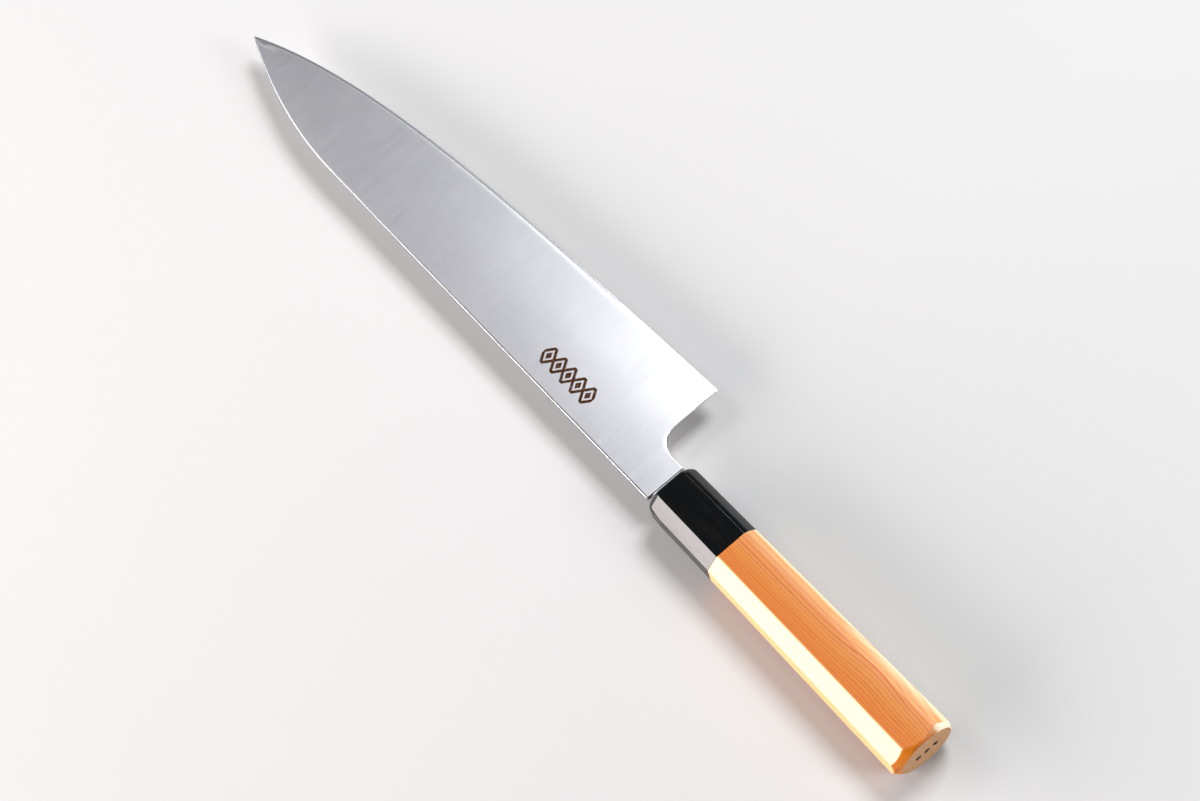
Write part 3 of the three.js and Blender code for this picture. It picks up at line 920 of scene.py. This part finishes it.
# a painted highlight at the cone's edge side, paler than the wood there
CONE_HIGHLIGHT_SIDE = (-5.6, -8.4)
PAINTED_CONE_HIGHLIGHT = (0.93, 0.83, 0.63)
STAIN_SHARE = (0.5, 0.62, 0.0, 0.6)
STAIN_SIDE = (-5.5, -1.0)
STAINED_CONE = (0.30, 0.066, 0.001)

END_EARLY = (0.65, 0.37, 0.185)
END_LATE = (0.42, 0.19, 0.075)
END_LATE_SHARE = 0.8
SPECK_SHARE = (0.4, 0.7, 0.0, 0.5)
END_SPECK = (0.25, 0.125, 0.058)

BURN_SPACING = 3.95
BURN_CENTRE = (-0.85, 0.5)  # of the middle dot, as y and z
BURN_RADIUS = 1.15
BURN_RAGGEDNESS = 2.0
BURN_BLUR = (0.3, -0.1)  # where a dot fades out and is full, beyond its radius
BURNT_WOOD = (0.045, 0.012, 0.004)
BUTT_DEPTH = 0.1  # how far ahead of the butt the dots reach

WOOD_ROUGHNESS = (0.3, 0.7, 0.38, 0.48)
END_ROUGHNESS = 0.25  # what the end grain and the burnt dots add
BURNT_ROUGHNESS = 0.2
GRAIN_DEPTH = 0.03  # the fibres and pores, in millimetres
FIBRE_RELIEF = 0.6  # the shares of that depth that the fibres and the pores have
PORE_RELIEF = 0.4
BURN_DEPTH = 0.15
LATE_RELIEF = 0.1  # how deep the late wood is sunk, as a share of that
WOOD_IOR = 1.45


def wood_rings(n, x, y, z):
    """How many growth rings lie between the tree's heart and a point."""
    from_y = n.minus(y, PITH[0])
    from_z = n.minus(z, PITH[1])
    squares = n.plus(n.math("POWER", from_y, 2.0), n.math("POWER", from_z, 2.0))
    along = n.math("DIVIDE", n.minus(x, SWELL_X), SWELL_REACH)
    bump = n.math("EXPONENT", n.times(n.math("POWER", along, 2.0), -1.0))
    swell = n.times(n.times(bump, SWELL_HEIGHT), n.between(y, *SWELL_SIDE))
    bend = n.times(n.noise(1, (16, 26, 26), detail=2, rough=0.45, offset=4.2), RING_BEND)
    ripple = n.times(n.noise(1, (70, 260, 260), detail=3, rough=0.5, offset=1.3), RING_RIPPLE)
    distance = n.plus(n.math("SQRT", squares), n.plus(bend, ripple))
    distance = n.minus(distance, swell)
    rate = n.minus(RINGS_PER_MM, n.times(distance, RING_WIDENING))
    uneven = n.times(n.noise(1, (5, 330, 330), detail=2, rough=0.6, offset=8.8), RING_UNEVENNESS)
    return n.plus(n.times(distance, rate), uneven)


def late_wood(n, count):
    """How far a point is into the darker wood that ends a year, which some years have less of."""
    late = n.ramp(n.math("FRACT", count), LATE_WOOD, smooth=True)
    year = {"W": n.math("FLOOR", count)}
    strength = n.add("ShaderNodeTexWhiteNoise", year, noise_dimensions="1D").outputs["Value"]
    return n.times(late, n.between(strength, *LATE_STRENGTH))


def sapwood(n, x, y, z, wobble):
    """1 in the pale layer along the handle's spine side, and 0 inside it."""
    height = n.math("MULTIPLY_ADD", x, (FRONT_HEIGHT - BUTT_HEIGHT) / HANDLE_LENGTH, FRONT_HEIGHT)
    corner = n.times(height, 0.5 - BEVEL_SHARE + WIDTH_SHARE / 2)
    under_bevel = n.times(n.minus(corner, n.plus(y, z)), math.sqrt(0.5))
    under_side = n.minus(n.times(height, 0.5), y)
    under = n.plus(n.math("MINIMUM", under_bevel, under_side), wobble)
    return n.between(under, SAP_DEPTH, SAP_DEPTH * SAP_FULL)


def wood_tones(n, x, y, z):
    """The colours of early and late wood, paler to the edge side and in the sapwood, with painted shade
    deepening the sapwood on the spine-side face.
    """
    cloud = n.noise(38, (0.35, 1, 1), detail=3, offset=6.0)
    wander = n.math("MULTIPLY_ADD", cloud, PALE_WANDER, -PALE_WANDER / 2)
    pale = n.between(n.plus(y, wander), *PALE_SIDE)
    early = n.ramp(pale, EARLY_TONES)
    late = n.vector("MULTIPLY", early, n.ramp(pale, LATE_SHADES))
    sap = sapwood(n, x, y, z, n.math("MULTIPLY_ADD", cloud, SAP_WOBBLE, -SAP_WOBBLE / 2))
    # painted shade: the sapwood on the spine-side face, which faces the strongest lamp, is coloured deeper
    painted_shade_face = n.between(n.split(n.normal)[1], *PAINTED_SHADE_FACING)
    early = n.mix(sap, early, n.mix(painted_shade_face, *SAP_EARLY))
    late = n.mix(sap, late, n.mix(painted_shade_face, *SAP_LATE))
    return early, late


def with_cone(n, y, endwise, tone):
    """tone, with painted shade deepening the butt's cone, stains on it, and a painted highlight making its
    edge side pale.
    """
    cone = n.between(endwise, *CONE_FACING)
    # painted shade where the cone's faces tilt away from the light, on its spine side
    deep = n.mix(n.between(y, *CONE_SHADE_TONE_SIDE), *PAINTED_CONE_SHADES)
    tone = n.mix(n.times(cone, n.between(y, *CONE_SHADE_SIDE)), tone, deep)
    # painted highlight: the cone's edge side made pale cream
    tone = n.mix(n.times(cone, n.between(y, *CONE_HIGHLIGHT_SIDE)), tone, PAINTED_CONE_HIGHLIGHT)
    stain = n.times(n.noise(260, (2.5, 1, 1), detail=4, rough=0.6, offset=4.0), cone)
    stain = n.times(n.between(stain, *STAIN_SHARE), n.between(y, *STAIN_SIDE))
    return n.mix(stain, tone, STAINED_CONE)


def end_grain(n, late):
    """The end face: faint rings and brown specks."""
    tone = n.mix(n.times(late, END_LATE_SHARE), END_EARLY, END_LATE)
    speck = n.noise(2600, (0.2, 1, 1), detail=3)
    return n.mix(n.between(speck, *SPECK_SHARE), tone, END_SPECK)


def burnt_dots(n, x, y, z):
    """1 in the three small dots burnt into the butt, and 0 elsewhere."""
    y = n.minus(y, BURN_CENTRE[0])
    z = n.minus(z, BURN_CENTRE[1])
    from_row = n.minus(n.math("ABSOLUTE", y), BURN_SPACING)
    near = n.math("MINIMUM", n.math("ABSOLUTE", from_row), n.math("ABSOLUTE", y))
    radius = n.math("SQRT", n.plus(n.math("POWER", near, 2.0), n.math("POWER", z, 2.0)))
    ragged = n.math("MULTIPLY_ADD", n.noise(900, detail=3), BURN_RAGGEDNESS, -BURN_RAGGEDNESS / 2)
    fade, full = [BURN_RADIUS + blur for blur in BURN_BLUR]
    on_butt = n.math("LESS_THAN", x, -HANDLE_LENGTH + BUTT_DEPTH)
    return n.times(n.between(n.plus(radius, ragged), fade, full), on_butt)


def wood_relief(n, fibre, late, burnt):
    """Fibres and pores over late wood and burnt dots that are slightly sunken."""
    pore = n.noise(1, (420, 7000, 7000), detail=2, rough=0.5, offset=9.0)
    grain = n.plus(n.times(fibre, FIBRE_RELIEF), n.times(pore, PORE_RELIEF))
    sunken = n.plus(n.times(late, LATE_RELIEF), burnt)
    return n.bump(grain, GRAIN_DEPTH, n.bump(sunken, -BURN_DEPTH))


def handle_wood_material():
    n = Nodes("yew_wood")
    x, y, z = n.knife_place()
    late = late_wood(n, wood_rings(n, x, y, z))
    fibre = n.noise(1, (110, 3800, 3800), detail=4, rough=0.65)
    early_tone, late_tone = wood_tones(n, x, y, z)
    tone = n.mix(late, early_tone, late_tone)
    tone = n.mix(n.between(fibre, *FIBRE_SHARE), tone, late_tone)
    endwise = n.math("ABSOLUTE", n.split(n.normal)[0])
    end = n.between(endwise, *END_FACING)
    tone = n.mix(end, with_cone(n, y, endwise, tone), end_grain(n, late))
    burnt = burnt_dots(n, x, y, z)
    tone = n.mix(burnt, tone, BURNT_WOOD)
    rough = n.between(fibre, *WOOD_ROUGHNESS)
    rough = n.plus(rough, n.times(end, END_ROUGHNESS))
    rough = n.plus(rough, n.times(burnt, BURNT_ROUGHNESS))
    relief = wood_relief(n, fibre, late, burnt)
    return n.finish(Base_Color=tone, Roughness=rough, Normal=relief, IOR=WOOD_IOR)


# ---- Hidden materials and the floor ----

PALE_DOWEL = (0.70, 0.55, 0.34)
DARK_DOWEL = (0.55, 0.39, 0.21)
DOWEL_BAND = (0.48, 0.32, 0.16)
AMBER_GLUE = (0.50, 0.27, 0.07)
DARK_GLUE = (0.34, 0.16, 0.03)
BLACK_SEAL = (0.020, 0.014, 0.010)
BROWN_SEAL = (0.045, 0.030, 0.020)
GREY_FLOOR = (0.50, 0.50, 0.50)
PALE_FLOOR = (0.52, 0.52, 0.515)


def plain_wood_material():
    n = Nodes("pale_dowel_wood")
    fibre = n.noise(1, (90, 1800, 1800), detail=4, rough=0.6)
    band = n.noise(1, (12, 420, 420), detail=2, offset=2.0)
    tone = n.mix(n.between(fibre, 0.3, 0.7), PALE_DOWEL, DARK_DOWEL)
    tone = n.mix(n.between(band, 0.4, 0.7, 0.0, 0.4), tone, DOWEL_BAND)
    return n.finish(Base_Color=tone, Roughness=0.7, Normal=n.bump(fibre, 0.05))


def glue_material():
    n = Nodes("amber_resin_glue")
    cloud = n.noise(160, detail=4)
    tone = n.mix(n.between(cloud, 0.35, 0.7), AMBER_GLUE, DARK_GLUE)
    rough = n.between(cloud, 0.3, 0.7, 0.3, 0.5)
    return n.finish(Base_Color=tone, Roughness=rough, Normal=n.bump(cloud, 0.1))


def seal_material():
    n = Nodes("dark_mouth_seal")
    lump = n.noise(700, detail=4)
    tone = n.mix(n.between(lump, 0.35, 0.7), BLACK_SEAL, BROWN_SEAL)
    rough = n.between(lump, 0.3, 0.7, 0.45, 0.65)
    return n.finish(Base_Color=tone, Roughness=rough, Normal=n.bump(lump, 0.12))


def floor_material():
    n = Nodes("pale_floor")
    cloud = n.noise(3.0, detail=3)
    tone = n.mix(n.between(cloud, 0.3, 0.7), GREY_FLOOR, PALE_FLOOR)
    return n.finish(Base_Color=tone, Roughness=0.85)


# ---- Knife ----


BLADE_SHARP_ANGLE = 35  # edges beyond these angles stay sharp, in degrees
HANDLE_SHARP_ANGLE = 28


def build_knife():
    finished_pieces = [
        ("blade", blade_mesh, BLADE_SHARP_ANGLE, "blade_steel", steel_material),
        ("ferrule", ferrule_mesh, HANDLE_SHARP_ANGLE, "ferrule_horn", horn_material),
        ("handle_body", handle_body_mesh, HANDLE_SHARP_ANGLE, "handle_wood", handle_wood_material),
    ]
    for node, shape, sharp_angle, slot, material in finished_pieces:
        points, faces = shape()
        piece = mesh_object(node + "_finished", points, faces, sharp_angle)
        stand_for(piece, node, material())
    hidden = {"dowel": plain_wood_material, "tang_glue": glue_material, "mouth_seal": seal_material}
    for node, material in hidden.items():
        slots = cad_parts[node].data.materials
        slots.clear()
        slots.append(material())


# ---- Stage, light and camera ----

# Here distances and sizes are in metres, and angles in degrees.

CAMERA_TARGET = (44.6, -4.3, 0.0)  # in the knife's own frame, in millimetres
CAMERA_DISTANCE = 1.3457
CAMERA_AZIMUTH = -112.27
CAMERA_ELEVATION = 64.45
CAMERA_ROLL = -19.78
CAMERA_LENS = 110.4  # in millimetres, as the sensor's width is
SENSOR_WIDTH = 36.0

WHITE = (1.0, 1.0, 1.0)
SOFTBOX_DISTANCE = 1.3
# Each softbox's name, azimuth, elevation, width and height, radiance and colour.
SOFTBOXES = [
    ("spine_side_softbox", 156, 14.5, (1.8, 0.6), 13.5, (1.0, 0.92, 0.91)),
    ("butt_side_softbox", -60, 28, (0.5, 0.4), 12.5, WHITE),
    ("edge_side_softbox", 15.6, 54.4, (0.5, 0.5), 20.0, (0.97, 0.98, 1.0)),
    ("tip_side_softbox", 114, 47, (0.5, 0.4), 6.0, (0.98, 0.98, 1.0)),
]
ROOM_COLOUR = (0.95, 0.97, 1.0, 1)
ROOM_STRENGTH = 0.1
FLOOR_REACH = 4.0
FLOOR_GAP = 0.0002  # between the floor and the knife's lowest point


def direction(azimuth, elevation):
    """From the object towards a viewer: azimuth 0 is a viewer on the -Y side, 90 on the +X side."""
    a, e = math.radians(azimuth), math.radians(elevation)
    return Vector((math.sin(a) * math.cos(e), -math.cos(a) * math.cos(e), math.sin(e)))


def build_camera():
    data = bpy.data.cameras.new("camera")
    data.lens = CAMERA_LENS
    data.sensor_width = SENSOR_WIDTH
    data.sensor_fit = "HORIZONTAL"
    camera = bpy.data.objects.new("camera", data)
    bpy.context.scene.collection.objects.link(camera)
    away = direction(CAMERA_AZIMUTH, CAMERA_ELEVATION)
    camera.location = place(*CAMERA_TARGET) + away * CAMERA_DISTANCE
    camera.rotation_mode = "QUATERNION"
    roll = Quaternion((0, 0, 1), math.radians(CAMERA_ROLL))
    camera.rotation_quaternion = (-away).to_track_quat("-Z", "Y") @ roll
    bpy.context.scene.camera = camera


def softbox(name, azimuth, elevation, size, radiance, colour):
    """A rectangular light that faces the knife. Radiance is how bright its face is."""
    data = bpy.data.lights.new(name, "AREA")
    data.shape = "RECTANGLE"
    data.size, data.size_y = size
    data.energy = radiance * size[0] * size[1] * math.pi
    data.color = colour
    light = bpy.data.objects.new(name, data)
    bpy.context.scene.collection.objects.link(light)
    away = direction(azimuth, elevation)
    light.location = place(*CAMERA_TARGET) + away * SOFTBOX_DISTANCE
    light.rotation_mode = "QUATERNION"
    light.rotation_quaternion = (-away).to_track_quat("-Z", "Y")


def build_floor():
    mesh = bpy.data.meshes.new("floor")
    height = cad_box[0].z - FLOOR_GAP
    corners = [(x * FLOOR_REACH, y * FLOOR_REACH, height) for x, y in ((-1, -1), (1, -1), (1, 1), (-1, 1))]
    mesh.from_pydata(corners, [], [(0, 1, 2, 3)])
    mesh.materials.append(floor_material())
    floor = bpy.data.objects.new("floor", mesh)
    bpy.context.scene.collection.objects.link(floor)


def build_lights():
    world = bpy.data.worlds.new("studio")
    world.use_nodes = True
    background = world.node_tree.nodes["Background"]
    background.inputs["Color"].default_value = ROOM_COLOUR
    background.inputs["Strength"].default_value = ROOM_STRENGTH
    bpy.context.scene.world = world
    for settings in SOFTBOXES:
        softbox(*settings)
    bpy.context.scene.view_settings.view_transform = "Standard"


build_knife()
build_camera()
build_floor()
build_lights()
